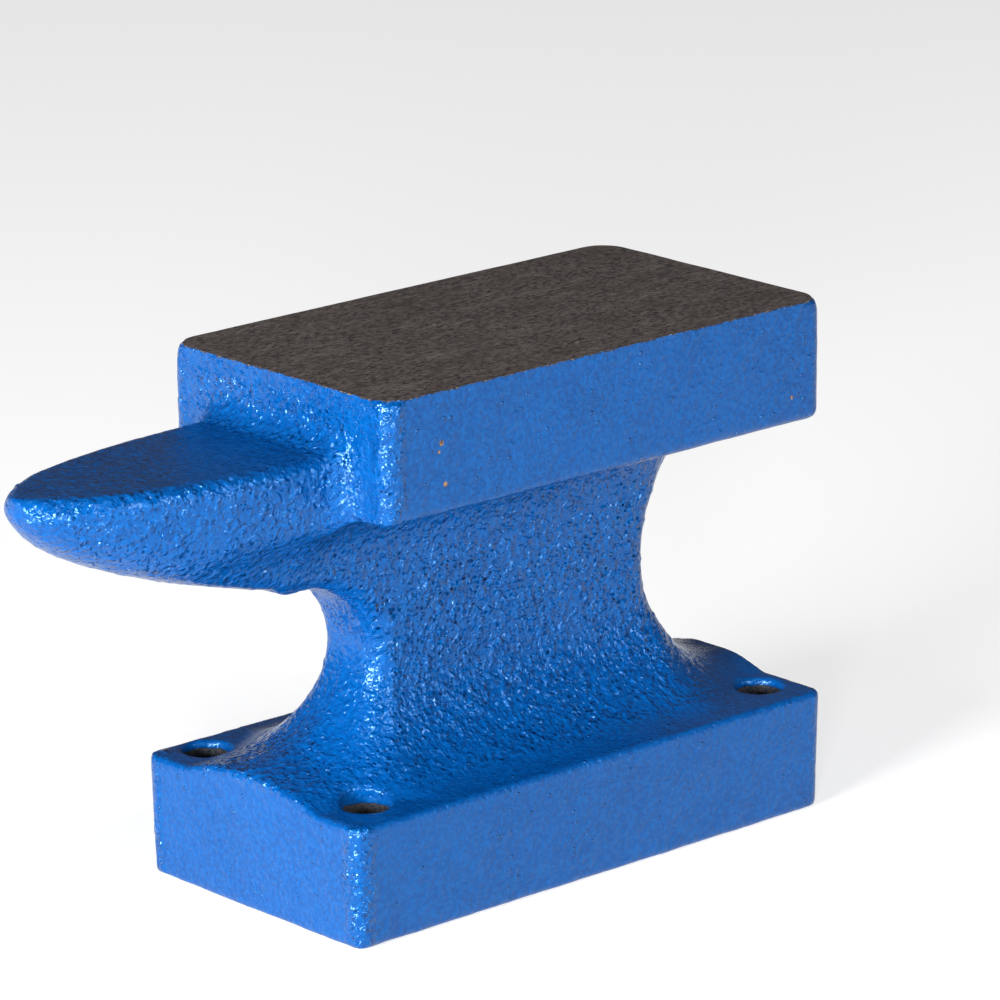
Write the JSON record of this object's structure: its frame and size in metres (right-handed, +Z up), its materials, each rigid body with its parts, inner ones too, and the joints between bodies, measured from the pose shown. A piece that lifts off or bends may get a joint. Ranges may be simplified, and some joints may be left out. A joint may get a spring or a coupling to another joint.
{
  "type": "bench anvil",
  "caption": "Small cast-iron bench anvil with a flat ground face, short flat-topped horn, hollowed waist and a thick bolt-down base.",
  "frame": {"origin": "middle of the base's underside", "axes": "+Z up, +X along the length from the horn towards the heel, +Y across"},
  "size_m": [0.1864, 0.066, 0.11],
  "materials": {
    "ground_iron": "bare cast iron, ground flat with fine lines along its length",
    "blue_enamel": "glossy blue enamel over a sand-cast surface, with a fine hammered texture"
  },
  "bodies": {
    "root": {"working_face": "ground_iron", "top_block": "blue_enamel", "horn": "blue_enamel", "waist": "blue_enamel", "base": "blue_enamel"}
  },
  "joints": []
}
